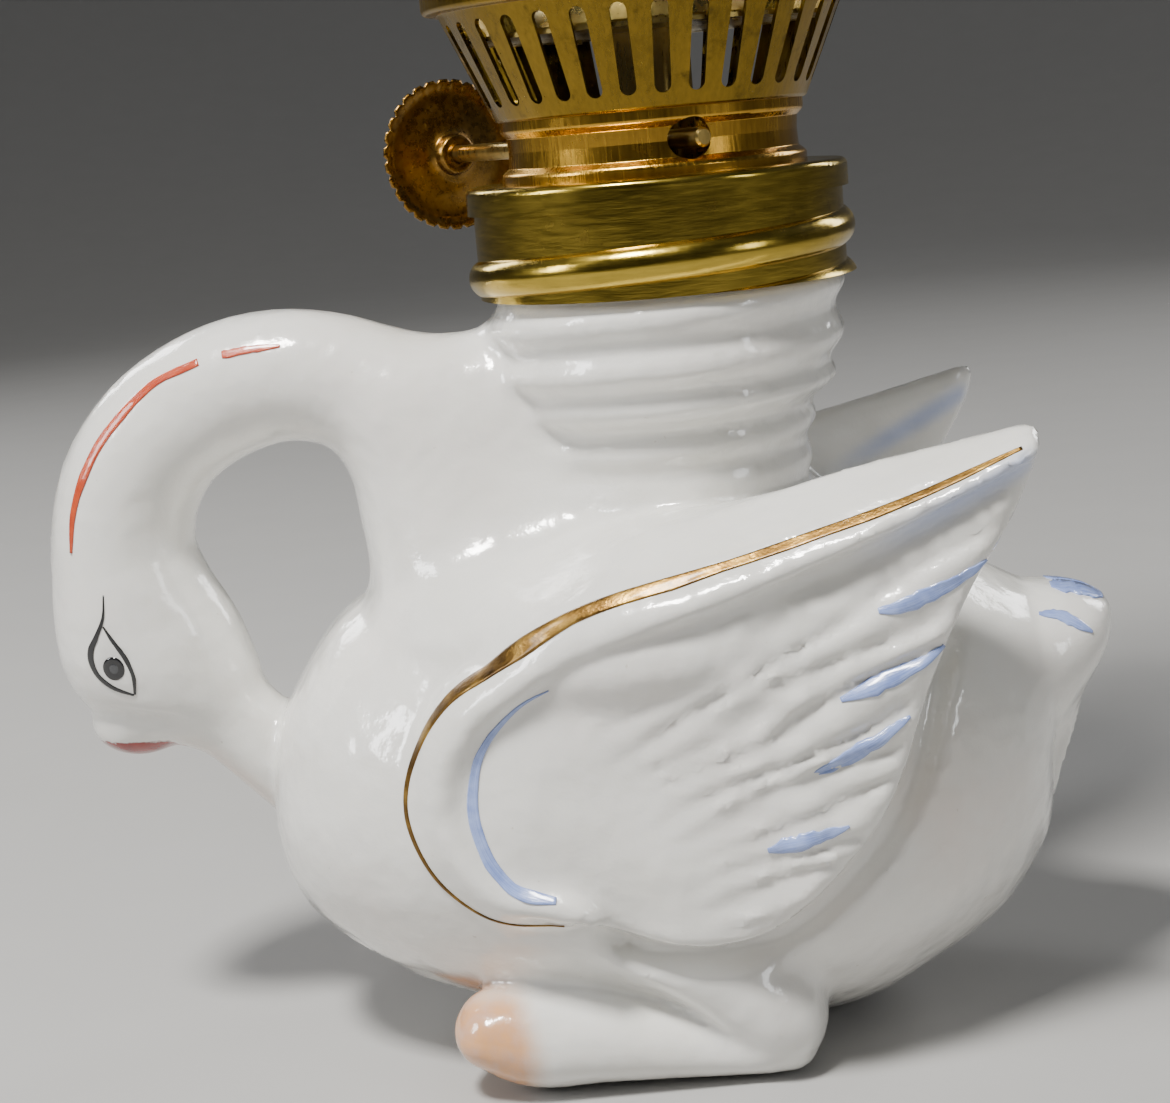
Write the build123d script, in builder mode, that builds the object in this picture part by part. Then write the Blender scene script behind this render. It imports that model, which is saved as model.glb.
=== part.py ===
from build123d import *
from math import cos, radians, sin
import os

# Swan oil lamp, in millimetres. A hollow porcelain swan holds the oil. A threaded porcelain
# neck rises from its back and takes a brass flat-wick burner with a glass chimney.
# +Z is up, -X is the way the bird faces, and the origin is on the table under the neck's axis.

# ---------------------------------------------------------------- driving dimensions
WALL = 3.5  # porcelain
RIM_Z = 82.4  # top of the porcelain neck
NECK_R = 16.4  # porcelain neck between its threads
BORE_R = 12.8  # filling hole
WAIST_BORE_R = 9.6  # where the neck is drawn in, between the thread and the body
WAIST_LOW_Z, WAIST_HIGH_Z = 53.0, 61.0
CAVITY_FLOOR_Z = 4.0

THREAD_PITCH = 5.0
THREAD_LOW_Z = 68.0  # every thread helix starts here, so that they stay in phase
THREAD_ROD = (15.9, 1.7)  # round thread of the porcelain: helix radius, profile radius
GROOVE_ROD = (16.6, 1.7)  # the cap's groove, 0.7 clear of the porcelain's crest
BULGE_ROD = (16.9, 1.95)  # the same groove seen from outside the cap
THREAD_TOP_Z, GROOVE_TOP_Z, BULGE_TOP_Z = 78.3, 79.0, 79.3

BRASS = 0.5  # heavier brass pressings
THIN_BRASS = 0.4  # lighter ones
GASKET_IN_R, GASKET_OUT_R, GASKET_THICK = 13.0, 16.8, 1.4
CAP_FOOT_Z = 73.6
CAP_TOP_Z = RIM_Z + GASKET_THICK + BRASS
CAP_IN_R, CAP_R = 17.3, 17.85  # plain wall between the cap's threads
CAP_HOLE_R = 12.6

DRUM_R = 13.9
DRUM_TOP_Z = 90.2
FLOOR_R = 12.2  # outside of the sunk floor, which hangs in the cap's hole
FLOOR_Z = 81.0
VENT_AT = 8.9  # from the wick's middle plane, on the spindle's side
VENT_R = 1.3

WICK_ANGLE = 126.0  # direction of the wick's width and of the spindle, from +X towards +Y
WICK_WIDE, WICK_THICK = 10.4, 1.7
WICK_LOW_Z, WICK_TOP_Z = 14.0, 102.6
TUBE_WIDE, TUBE_THICK, TUBE_WALL = 11.8, 3.1, 0.5
TUBE_LOW_Z, TUBE_TOP_Z = 70.0, 101.2

SPINDLE_Z = 87.4
SPINDLE_R = 0.9
RUNNING = 0.05  # radial clearance of the spindle in its bearings
SPUR_R, SPUR_ROOT_R, SPUR_THICK, SPUR_TEETH = 3.15, 2.5, 1.6, 12
SPUR_AT = 2.6  # along the spindle, either side of the middle of the wick
SPINDLE_OFFSET = WICK_THICK / 2 + SPUR_R + RUNNING
EAR_AT = 4.75
SPINDLE_NEAR, SPINDLE_FAR = -13.9, 33.6
THUMB_R, THUMB_THICK, THUMB_AT, THUMB_NOTCHES = 8.0, 0.7, 31.6, 30
BUSH_R, BUSH_LIP_R, BUSH_LIP_AT = 1.7, 2.3, 14.65
SIDE_HOLE_R = 1.9  # in the drum, at the spindle's plain end

BASKET_LOW_R, BASKET_TOP_R = 14.8, 19.2
BASKET_TOP_Z = 100.4
SHELF_Z = 101.0  # the chimney stands here
CROWN_TOP_Z = 105.6
SLOTS, SLOT_WIDE, SLOT_LOW_Z, SLOT_TOP_Z = 32, 1.5, 91.6, 99.6
FINGERS, FINGER_GAP = 16, 0.9
PLATE_R, PLATE_Z = 17.6, 97.6
DOME_R, DOME_TOP_Z = 11.0, 106.6
RIVET_AT, RIVET_R, RIVET_HEAD = 12.2, 0.5, 0.4

GLASS = 1.4
GLASS_FOOT_R = 20.3
GLASS_GAP = 0.3  # between the chimney's foot and the springy crown
CROWN_R = GLASS_FOOT_R + GLASS_GAP + THIN_BRASS / 2
GLASS_TOP_R, GLASS_TOP_Z = 12.6, 204.0

# Swan's body, from the breast to the tail: (x, lowest z, highest z, half width).
BODY_STATIONS = [
    (-43.2, 21.0, 27.0, 3.0),
    (-42.0, 16.0, 33.0, 9.0),
    (-37.0, 11.0, 41.0, 15.5),
    (-29.0, 5.5, 47.0, 21.0),
    (-15.0, 1.0, 51.0, 25.5),
    (2.0, 0.0, 52.5, 27.0),
    (15.0, 0.8, 50.5, 25.0),
    (25.0, 7.0, 45.0, 19.0),
    (32.5, 20.0, 41.5, 12.0),
    (38.5, 31.0, 40.2, 8.5),
    (41.8, 35.4, 39.4, 5.0),
]
# Its neck, head and beak: (x, z, half thickness in the bird's plane, half thickness across).
NECK_STATIONS = [
    (-19.0, 36.0, 12.0, 17.0),
    (-21.0, 46.0, 9.6, 12.5),
    (-23.0, 54.0, 7.5, 9.0),
    (-25.6, 61.0, 6.7, 7.4),
    (-30.5, 65.6, 6.5, 6.9),
    (-37.0, 67.0, 6.6, 6.8),
    (-44.0, 66.0, 6.8, 6.9),
    (-50.0, 63.0, 6.9, 7.0),
    (-54.2, 58.5, 7.1, 7.1),
    (-56.3, 52.5, 7.6, 7.3),
    (-56.2, 46.0, 8.4, 7.7),
    (-54.4, 39.5, 9.2, 7.8),
    (-50.5, 33.5, 8.0, 7.0),
    (-46.5, 29.8, 5.8, 5.4),
    (-42.0, 26.4, 5.2, 4.6),
    (-38.5, 24.0, 5.0, 4.2),
]
# Web between that neck and the lamp's, as the body's stations.
WEB_STATIONS = [(-25.5, 53.0, 69.5, 7.4), (-17.0, 51.0, 71.4, 8.6), (-8.0, 50.0, 71.0, 10.0)]
# Wing seen from the side: over the leading edge to the tip, and back underneath.
WING_TIP = (32.4, 59.4)
WING_OVER = [(-13.5, 16.5), (-21.0, 19.2), (-26.5, 26.5), (-25.5, 35.0), (-17.5, 43.8),
             (-5.0, 49.5), (10.0, 53.5), (24.0, 58.0)]
WING_UNDER = [(28.0, 49.0), (22.0, 37.0), (15.0, 24.0), (7.5, 15.6), (-2.0, 13.4), (-9.0, 15.2)]

wick_plane = Plane(
    origin=(0, 0, 0),
    x_dir=(cos(radians(WICK_ANGLE)), sin(radians(WICK_ANGLE)), 0),
    z_dir=(0, 0, 1),
)
spindle_plane = Plane(
    origin=wick_plane.from_local_coords((0, SPINDLE_OFFSET, SPINDLE_Z)),
    x_dir=(0, 0, 1),
    z_dir=wick_plane.x_dir,
)
# A wick's-eye upright plane: its x runs along the wick's width and its y is up.
wick_face_plane = Plane(origin=(0, 0, 0), x_dir=wick_plane.x_dir, z_dir=-wick_plane.y_dir)


# ---------------------------------------------------------------- shared shapes
def helix_rod(rod, top):
    """A round rod, given as (helix radius, profile radius), wound up to a height."""
    helix_radius, radius = rod
    with BuildPart() as wound:
        with BuildLine() as path:
            Helix(THREAD_PITCH, top - THREAD_LOW_Z, helix_radius, center=(0, 0, THREAD_LOW_Z))
        with BuildSketch(Plane(origin=path.line @ 0, z_dir=path.line % 0)):
            Circle(radius)
        sweep(is_frenet=True)
    return wound.part


def pressing(points, radius, thickness):
    """Sheet metal turned about Z: a bent centre line of (r, z) points, given its thickness."""
    with BuildPart() as turned:
        with BuildSketch(Plane.XZ):
            with BuildLine():
                FilletPolyline(*points, radius=radius)
            trace(line_width=thickness)
        revolve(axis=Axis.Z)
    return turned.part


def rod_on_spindle(radius, start, end, inner=0.0):
    """A round bar, or a tube, on the spindle's axis between two places along it."""
    with BuildPart() as bar:
        with BuildSketch(spindle_plane.offset(start)):
            Circle(radius)
            if inner:
                Circle(inner, mode=Mode.SUBTRACT)
        extrude(amount=end - start)
    return bar.part


def wick_block(wide, thick, low, top):
    """An upright block centred on the wick."""
    with BuildPart() as block:
        with BuildSketch(wick_plane.offset(low)):
            Rectangle(wide, thick)
        extrude(amount=top - low)
    return block.part


def finish(part, name):
    """Labels a finished sub-part and writes it."""
    part.label = name
    export_step(part, f"parts/{name}.step")


os.makedirs("parts", exist_ok=True)


# ---------------------------------------------------------------- porcelain swan
def body_hull(shrink, stations):
    """The body as a loft through upright ellipses, drawn in by the wall for the cavity."""
    with BuildPart() as hull:
        for x, low, high, wide in stations:
            with BuildSketch(Plane.YZ.offset(x)):
                with Locations((0, (low + high) / 2)):
                    Ellipse(wide - shrink, (high - low) / 2 - shrink)
        loft()
    return hull.part


def neck_hull():
    """The bird's neck, head and beak as one loft through tilted ellipses."""
    points = [Vector(x, 0, z) for x, z, _, _ in NECK_STATIONS]
    path = Edge.make_spline(points)
    with BuildPart() as hull:
        for point, (_, _, thick, across) in zip(points, NECK_STATIONS):
            tangent = path.tangent_at(path.param_at_point(point))
            with BuildSketch(Plane(origin=point, x_dir=(0, 1, 0), z_dir=tangent)):
                Ellipse(across, thick)
        loft()
    return hull.part


def wing_leaf():
    """The wing on the +Y side: a leaf that bows outwards and thins towards its tip."""
    with BuildPart() as wing:
        with BuildSketch(Plane.XZ):
            with BuildLine():
                Spline(*WING_OVER, WING_TIP)
                Spline(WING_TIP, *WING_UNDER, WING_OVER[0])
            make_face()
        extrude(amount=-32)
        with BuildSketch() as plan:
            with BuildLine():
                ThreePointArc((-28.0, 23.5), (2.0, 29.0), (34.0, 26.8))
                Polyline((34.0, 26.8), (34.0, 21.6), (-10.0, 12.0), (-28.0, 10.0), (-28.0, 23.5))
            make_face()
        extrude(amount=64, mode=Mode.INTERSECT)
        outer = wing.faces().sort_by(Axis.Y)[-1]
        fillet(outer.edges(), 1.6)
    return wing.part


with BuildPart() as wing_side:
    add(wing_leaf())
with BuildPart() as knob:
    Sphere(1)
    scale(by=(5.0, 4.6, 3.6))
with BuildPart() as thigh:
    Sphere(1)
    scale(by=(18.0, 7.6, 6.4))

with BuildPart() as swan_font:
    add(body_hull(0, BODY_STATIONS))
    add(neck_hull())
    add(body_hull(0, WEB_STATIONS))
    with Locations((-56.5, 0, 33.0)):
        add(knob.part)
    for side in (1, -1):
        with Locations(Location((-7.0, side * 18.0, 5.4), (0, 0, side * 12.0))):
            add(thigh.part)
    add(wing_side.part)
    mirror(wing_side.part, about=Plane.XZ)
    with BuildSketch(Plane.XZ):
        with BuildLine():
            Polyline((0, 40.0), (20.0, 40.0), (14.6, 54.0))
            Spline((14.6, 54.0), (13.9, 59.5), (NECK_R, 64.5), tangents=((-0.3, 1), (0.2, 1)))
            Polyline((NECK_R, 64.5), (NECK_R, RIM_Z), (0, RIM_Z), (0, 40.0))
        make_face()
    revolve(axis=Axis.Z)
    add(helix_rod(THREAD_ROD, THREAD_TOP_Z))
    with BuildSketch():
        with Locations((-3.0, 0)):
            Ellipse(19.0, 20.0)
    extrude(amount=5.0)
    split(bisect_by=Plane.XY, keep=Keep.TOP)
    # Oil space inside the body, and the filling bore with its waist.
    with BuildPart(mode=Mode.PRIVATE) as cavity:
        add(body_hull(WALL, BODY_STATIONS[3:8]))
        split(bisect_by=Plane.XY.offset(CAVITY_FLOOR_Z), keep=Keep.TOP)
    add(cavity.part, mode=Mode.SUBTRACT)
    with BuildSketch(Plane.XZ):
        with BuildLine():
            Polyline(
                (0, 40.0),
                (WAIST_BORE_R, 40.0),
                (WAIST_BORE_R, WAIST_HIGH_Z),
                (BORE_R, WAIST_HIGH_Z + 6.0),
                (BORE_R, RIM_Z + 1),
                (0, RIM_Z + 1),
                close=True,
            )
        make_face()
    revolve(axis=Axis.Z, mode=Mode.SUBTRACT)
finish(swan_font.part, "swan_font")

# ---------------------------------------------------------------- gasket and screw cap
with BuildPart() as neck_gasket:
    with BuildSketch(Plane.XY.offset(RIM_Z)):
        Circle(GASKET_OUT_R)
        Circle(GASKET_IN_R, mode=Mode.SUBTRACT)
    extrude(amount=GASKET_THICK)
finish(neck_gasket.part, "neck_gasket")

with BuildPart() as screw_cap:
    with BuildSketch(Plane.XY.offset(CAP_FOOT_Z)):
        Circle(CAP_R)
    extrude(amount=CAP_TOP_Z - CAP_FOOT_Z)
    add(helix_rod(BULGE_ROD, BULGE_TOP_Z))
    with BuildSketch(Plane.XY.offset(CAP_TOP_Z - 2.6)):
        Circle(CAP_R + 0.6)
    extrude(amount=2.6)
    fillet(screw_cap.edges().group_by(Axis.Z)[-1], 0.7)
    split(bisect_by=Plane.XY.offset(CAP_FOOT_Z), keep=Keep.TOP)
    with BuildSketch(Plane.XY.offset(CAP_FOOT_Z)):
        Circle(CAP_IN_R)
    extrude(amount=CAP_TOP_Z - BRASS - CAP_FOOT_Z, mode=Mode.SUBTRACT)
    add(helix_rod(GROOVE_ROD, GROOVE_TOP_Z), mode=Mode.SUBTRACT)
    with BuildSketch(Plane.XY.offset(CAP_TOP_Z)):
        Circle(CAP_HOLE_R)
    extrude(amount=-BRASS, mode=Mode.SUBTRACT)
finish(screw_cap.part, "screw_cap")

# ---------------------------------------------------------------- drum, floor and vent
with BuildPart() as burner_drum:
    foot, top = CAP_TOP_Z, DRUM_TOP_Z
    add(
        pressing(
            [
                (DRUM_R + 0.6, foot),
                (DRUM_R + 0.6, foot + 0.8),
                (DRUM_R - 0.1, foot + 1.4),
                (DRUM_R - 0.2, foot + 3.0),
                (DRUM_R - 0.1, top - 1.5),
                (DRUM_R + 0.5, top - 0.9),
                (DRUM_R + 0.5, top),
            ],
            0.3,
            THIN_BRASS,
        )
    )
    add(rod_on_spindle(BUSH_R + RUNNING, 5.0, 20.0), mode=Mode.SUBTRACT)
    side_hole_plane = spindle_plane.offset(-20.0)
    with BuildSketch(side_hole_plane):
        with Locations((0, SPINDLE_R + RUNNING - SIDE_HOLE_R)):
            Circle(SIDE_HOLE_R)
    extrude(amount=15.0, mode=Mode.SUBTRACT)
finish(burner_drum.part, "burner_drum")

with BuildPart() as drum_floor:
    add(
        pressing(
            [
                (0.0, FLOOR_Z + THIN_BRASS / 2),
                (FLOOR_R - THIN_BRASS / 2, FLOOR_Z + THIN_BRASS / 2),
                (FLOOR_R - THIN_BRASS / 2, CAP_TOP_Z + THIN_BRASS / 2),
                (DRUM_R - 0.7, CAP_TOP_Z + THIN_BRASS / 2),
            ],
            0.5,
            THIN_BRASS,
        )
    )
    add(wick_block(TUBE_WIDE, TUBE_THICK, FLOOR_Z - 1, FLOOR_Z + 1), mode=Mode.SUBTRACT)
    with BuildSketch(wick_plane.offset(FLOOR_Z)):
        with Locations((0, VENT_AT)):
            Circle(VENT_R)
    extrude(amount=1.0, mode=Mode.SUBTRACT)
finish(drum_floor.part, "drum_floor")

with BuildPart() as vent_tube:
    with BuildSketch(wick_plane.offset(FLOOR_Z - 3.0)):
        with Locations((0, VENT_AT)):
            Circle(VENT_R)
            Circle(VENT_R - THIN_BRASS, mode=Mode.SUBTRACT)
    extrude(amount=9.0)
finish(vent_tube.part, "vent_tube")

# ---------------------------------------------------------------- wick, tube and winder
with BuildPart() as wick:
    add(wick_block(WICK_WIDE, WICK_THICK, WICK_LOW_Z, WICK_TOP_Z))
    fillet(wick.edges().filter_by(Axis.Z), 0.6)
finish(wick.part, "wick")

with BuildPart() as wick_tube:
    with BuildSketch(wick_plane.offset(TUBE_LOW_Z)):
        RectangleRounded(TUBE_WIDE, TUBE_THICK, 1.2)
        RectangleRounded(TUBE_WIDE - 2 * TUBE_WALL, TUBE_THICK - 2 * TUBE_WALL, 0.7, mode=Mode.SUBTRACT)
    extrude(amount=TUBE_TOP_Z - TUBE_LOW_Z)
    # Window through which the spur wheels reach the wick.
    with BuildSketch(wick_face_plane):
        with Locations((0, SPINDLE_Z)):
            Rectangle(2 * (SPUR_AT + SPUR_THICK / 2) + 1.2, 2 * SPUR_R + 0.6)
    extrude(amount=-TUBE_THICK, mode=Mode.SUBTRACT)
finish(wick_tube.part, "wick_tube")

with BuildPart() as spindle_cradle:
    # A strip bent into a U: its back is soldered to the tube and its two ears carry the spindle.
    with BuildSketch(wick_plane.offset(SPINDLE_Z - SPUR_R - 2.6)):
        with Locations((0, TUBE_THICK / 2 + BRASS / 2)):
            Rectangle(2 * (EAR_AT + BRASS), BRASS)
        with Locations((EAR_AT + BRASS / 2, 3.7), (-EAR_AT - BRASS / 2, 3.7)):
            Rectangle(BRASS, 4.3)
    extrude(amount=2 * SPUR_R + 2.4)
    with BuildSketch(wick_plane.offset(SPINDLE_Z - SPUR_R - 0.3)):
        with Locations((0, TUBE_THICK / 2 + BRASS / 2)):
            Rectangle(2 * EAR_AT, BRASS + 0.2)
    extrude(amount=9.0, mode=Mode.SUBTRACT)
    add(rod_on_spindle(SPINDLE_R + RUNNING, -8.0, 8.0), mode=Mode.SUBTRACT)
finish(spindle_cradle.part, "spindle_cradle")

with BuildPart() as spindle_bush:
    add(rod_on_spindle(BUSH_R, 12.0, BUSH_LIP_AT, SPINDLE_R + RUNNING))
    add(rod_on_spindle(BUSH_LIP_R, BUSH_LIP_AT, BUSH_LIP_AT + 0.5, SPINDLE_R + RUNNING))
finish(spindle_bush.part, "spindle_bush")

with BuildPart() as wick_spindle:
    add(rod_on_spindle(SPINDLE_R, SPINDLE_NEAR, SPINDLE_FAR))
    chamfer(wick_spindle.edges().filter_by(GeomType.CIRCLE), 0.2)
finish(wick_spindle.part, "wick_spindle")

for name, middle in (("spur_wheel_inner", -SPUR_AT), ("spur_wheel_outer", SPUR_AT)):
    with BuildPart() as spur:
        with BuildSketch(spindle_plane.offset(middle - SPUR_THICK / 2)):
            Circle(SPUR_ROOT_R)
            with PolarLocations(SPUR_ROOT_R - 0.2, SPUR_TEETH):
                Trapezoid(1.3, 1.0, 62, align=(Align.CENTER, Align.MIN), rotation=-90)
            Circle(SPINDLE_R, mode=Mode.SUBTRACT)
        extrude(amount=SPUR_THICK)
        add(rod_on_spindle(SPUR_R, middle - SPUR_THICK, middle + SPUR_THICK), mode=Mode.INTERSECT)
    finish(spur.part, name)

with BuildPart() as thumbwheel:
    with BuildSketch(spindle_plane.offset(THUMB_AT)):
        Circle(THUMB_R)
        with PolarLocations(THUMB_R + 0.25, THUMB_NOTCHES):
            Circle(0.5, mode=Mode.SUBTRACT)
    extrude(amount=THUMB_THICK)
    add(rod_on_spindle(THUMB_R - 1.6, THUMB_AT + THUMB_THICK - 0.3, THUMB_AT + 1), mode=Mode.SUBTRACT)
    add(rod_on_spindle(2.0, THUMB_AT - 1.6, THUMB_AT + THUMB_THICK - 0.3))
    add(rod_on_spindle(SPINDLE_R, THUMB_AT - 3, THUMB_AT + 3), mode=Mode.SUBTRACT)
finish(thumbwheel.part, "thumbwheel")

with BuildPart() as thumbwheel_washer:
    add(rod_on_spindle(2.4, THUMB_AT + THUMB_THICK - 0.3, THUMB_AT + THUMB_THICK + 0.3, SPINDLE_R))
finish(thumbwheel_washer.part, "thumbwheel_washer")

# ---------------------------------------------------------------- basket, diffuser and dome
with BuildPart() as slot_cutter:
    with BuildSketch(Plane.YZ.offset(BASKET_LOW_R - 3.0)):
        with Locations((0, (SLOT_LOW_Z + SLOT_TOP_Z) / 2)):
            SlotOverall(SLOT_TOP_Z - SLOT_LOW_Z, SLOT_WIDE, rotation=90)
    extrude(amount=10.0)
with BuildPart() as finger_cutter:
    with BuildSketch(Plane.YZ.offset(CROWN_R - 1.0)):
        with Locations((0, CROWN_TOP_Z)):
            SlotOverall(2 * (CROWN_TOP_Z - SHELF_Z - 1.4), FINGER_GAP, rotation=90)
    extrude(amount=2.0)

with BuildPart() as chimney_basket:
    add(
        pressing(
            [
                (DRUM_R - 0.4, DRUM_TOP_Z + THIN_BRASS / 2),
                (BASKET_LOW_R, DRUM_TOP_Z + THIN_BRASS / 2),
                (BASKET_TOP_R, BASKET_TOP_Z),
                (BASKET_TOP_R + 0.2, SHELF_Z - THIN_BRASS / 2),
                (CROWN_R, SHELF_Z - THIN_BRASS / 2),
                (CROWN_R, CROWN_TOP_Z),
            ],
            0.35,
            THIN_BRASS,
        )
    )
    with PolarLocations(0, SLOTS, start_angle=180 / SLOTS):
        add(slot_cutter.part, mode=Mode.SUBTRACT)
    with PolarLocations(0, FINGERS):
        add(finger_cutter.part, mode=Mode.SUBTRACT)
finish(chimney_basket.part, "chimney_basket")

with BuildPart() as diffuser_plate:
    with BuildSketch(Plane.XY.offset(PLATE_Z)):
        Circle(PLATE_R)
        with PolarLocations(15.6, 36):
            Circle(0.7, mode=Mode.SUBTRACT)
        with PolarLocations(13.6, 30, start_angle=6):
            Circle(0.6, mode=Mode.SUBTRACT)
        Rectangle(TUBE_WIDE + 0.6, TUBE_THICK + 0.6, rotation=WICK_ANGLE, mode=Mode.SUBTRACT)
        with PolarLocations(RIVET_AT, 2, start_angle=WICK_ANGLE):
            Circle(RIVET_R, mode=Mode.SUBTRACT)
    extrude(amount=THIN_BRASS)
finish(diffuser_plate.part, "diffuser_plate")

with BuildPart() as flame_dome:
    plate_top = PLATE_Z + THIN_BRASS
    with BuildSketch(Plane.XZ):
        with BuildLine():
            Line((DOME_R + 2.0, plate_top + THIN_BRASS / 2), (DOME_R, plate_top + THIN_BRASS / 2))
            Spline(
                (DOME_R, plate_top + THIN_BRASS / 2),
                (DOME_R - 2.2, plate_top + 4.6),
                (0.4, DOME_TOP_Z - THIN_BRASS / 2),
                tangents=((-0.35, 1), (-1, 0)),
            )
        trace(line_width=THIN_BRASS)
    revolve(axis=Axis.Z)
    add(wick_block(TUBE_WIDE + 0.8, TUBE_THICK + 0.5, plate_top + 1, DOME_TOP_Z + 2), mode=Mode.SUBTRACT)
    with BuildSketch(Plane.XY.offset(PLATE_Z)):
        with PolarLocations(RIVET_AT, 2, start_angle=WICK_ANGLE):
            Circle(RIVET_R)
    extrude(amount=2.0, mode=Mode.SUBTRACT)
finish(flame_dome.part, "flame_dome")

with BuildPart() as dome_rivets:
    low, high = PLATE_Z - RIVET_HEAD, PLATE_Z + 2 * THIN_BRASS + RIVET_HEAD
    for radius, bottom, top in (
        (RIVET_R, low, high),
        (RIVET_R + 0.35, low, PLATE_Z),
        (RIVET_R + 0.35, high - RIVET_HEAD, high),
    ):
        with BuildSketch(Plane.XY.offset(bottom)):
            with PolarLocations(RIVET_AT, 2, start_angle=WICK_ANGLE):
                Circle(radius)
        extrude(amount=top - bottom)
finish(dome_rivets.part, "dome_rivets")

# ---------------------------------------------------------------- glass chimney
GLASS_PROFILE = [
    (GLASS_FOOT_R, SHELF_Z + 6.0),
    (19.0, SHELF_Z + 12.0),
    (24.9, SHELF_Z + 31.0),
    (16.9, SHELF_Z + 55.0),
    (GLASS_TOP_R, GLASS_TOP_Z - 24.0),
]
with BuildPart() as glass_chimney:
    with BuildSketch(Plane.XZ):
        for outside, mode in ((0, Mode.ADD), (GLASS, Mode.SUBTRACT)):
            with BuildLine():
                Polyline((GLASS_FOOT_R - outside, SHELF_Z + 6.0), (GLASS_FOOT_R - outside, SHELF_Z))
                Polyline((GLASS_FOOT_R - outside, SHELF_Z), (0, SHELF_Z), (0, GLASS_TOP_Z))
                Line((0, GLASS_TOP_Z), (GLASS_TOP_R - outside, GLASS_TOP_Z))
                Line((GLASS_TOP_R - outside, GLASS_TOP_Z), (GLASS_TOP_R - outside, GLASS_TOP_Z - 24.0))
                Spline(
                    *[(radius - outside, height) for radius, height in GLASS_PROFILE],
                    tangents=((0, 1), (0, 1)),
                )
            make_face(mode=mode)
    revolve(axis=Axis.Z)
finish(glass_chimney.part, "glass_chimney")
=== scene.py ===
from math import cos, pi, radians, sin

import bmesh
import bpy
import numpy as np
from mathutils import Matrix, Vector


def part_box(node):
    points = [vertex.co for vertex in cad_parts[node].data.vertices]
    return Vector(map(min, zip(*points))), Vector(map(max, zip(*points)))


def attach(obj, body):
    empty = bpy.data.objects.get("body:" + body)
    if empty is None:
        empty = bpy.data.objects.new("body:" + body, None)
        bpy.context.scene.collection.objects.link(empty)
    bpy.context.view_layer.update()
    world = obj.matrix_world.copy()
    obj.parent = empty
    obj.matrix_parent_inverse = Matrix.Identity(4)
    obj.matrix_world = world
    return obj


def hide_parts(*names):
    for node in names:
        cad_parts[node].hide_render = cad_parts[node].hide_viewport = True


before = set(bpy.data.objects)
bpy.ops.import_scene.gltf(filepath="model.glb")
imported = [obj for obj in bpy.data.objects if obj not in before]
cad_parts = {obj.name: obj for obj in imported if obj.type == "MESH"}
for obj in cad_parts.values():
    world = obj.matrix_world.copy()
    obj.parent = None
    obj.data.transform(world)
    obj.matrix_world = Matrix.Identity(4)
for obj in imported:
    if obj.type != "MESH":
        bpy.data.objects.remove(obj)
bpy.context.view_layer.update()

MM = 0.001
EYE = (0.003, -0.215, 0.090)  # where the photograph's camera stood
AIM = (0, 0, 0.05)  # the place that the lights face
WICK_ANGLE = radians(126)  # of the wick's broad side, seen from above

# ================================================================ camera, floor and light
def make_camera():
    """The photograph's camera: a little above the rim, in front of the swan's right side."""
    data = bpy.data.cameras.new("camera")
    data.sensor_width = 36.0
    data.lens = 67.48
    data.clip_start = 0.01
    made = bpy.data.objects.new("camera", data)
    bpy.context.scene.collection.objects.link(made)
    yaw, pitch, roll = radians(-3.4607), radians(11.1436), radians(5.1)
    ahead = Vector((sin(yaw) * cos(pitch), cos(yaw) * cos(pitch), -sin(pitch)))
    level = Vector((cos(yaw), -sin(yaw), 0))
    upright = level.cross(ahead)
    right = level * cos(roll) - upright * sin(roll)
    up = level * sin(roll) + upright * cos(roll)
    turned = Matrix((right, up, -ahead)).transposed().to_4x4()
    turned.translation = Vector(EYE)
    made.matrix_world = turned
    bpy.context.scene.camera = made


def softbox(name, place, wide, tall, power, colour=(1, 1, 1)):
    """A rectangular area light that faces the lamp."""
    data = bpy.data.lights.new(name, "AREA")
    data.shape = "RECTANGLE"
    data.size, data.size_y = wide, tall
    data.energy = power
    data.color = colour
    made = bpy.data.objects.new(name, data)
    bpy.context.scene.collection.objects.link(made)
    made.location = place
    made.rotation_euler = (Vector(AIM) - Vector(place)).to_track_quat("-Z", "Y").to_euler()


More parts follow.
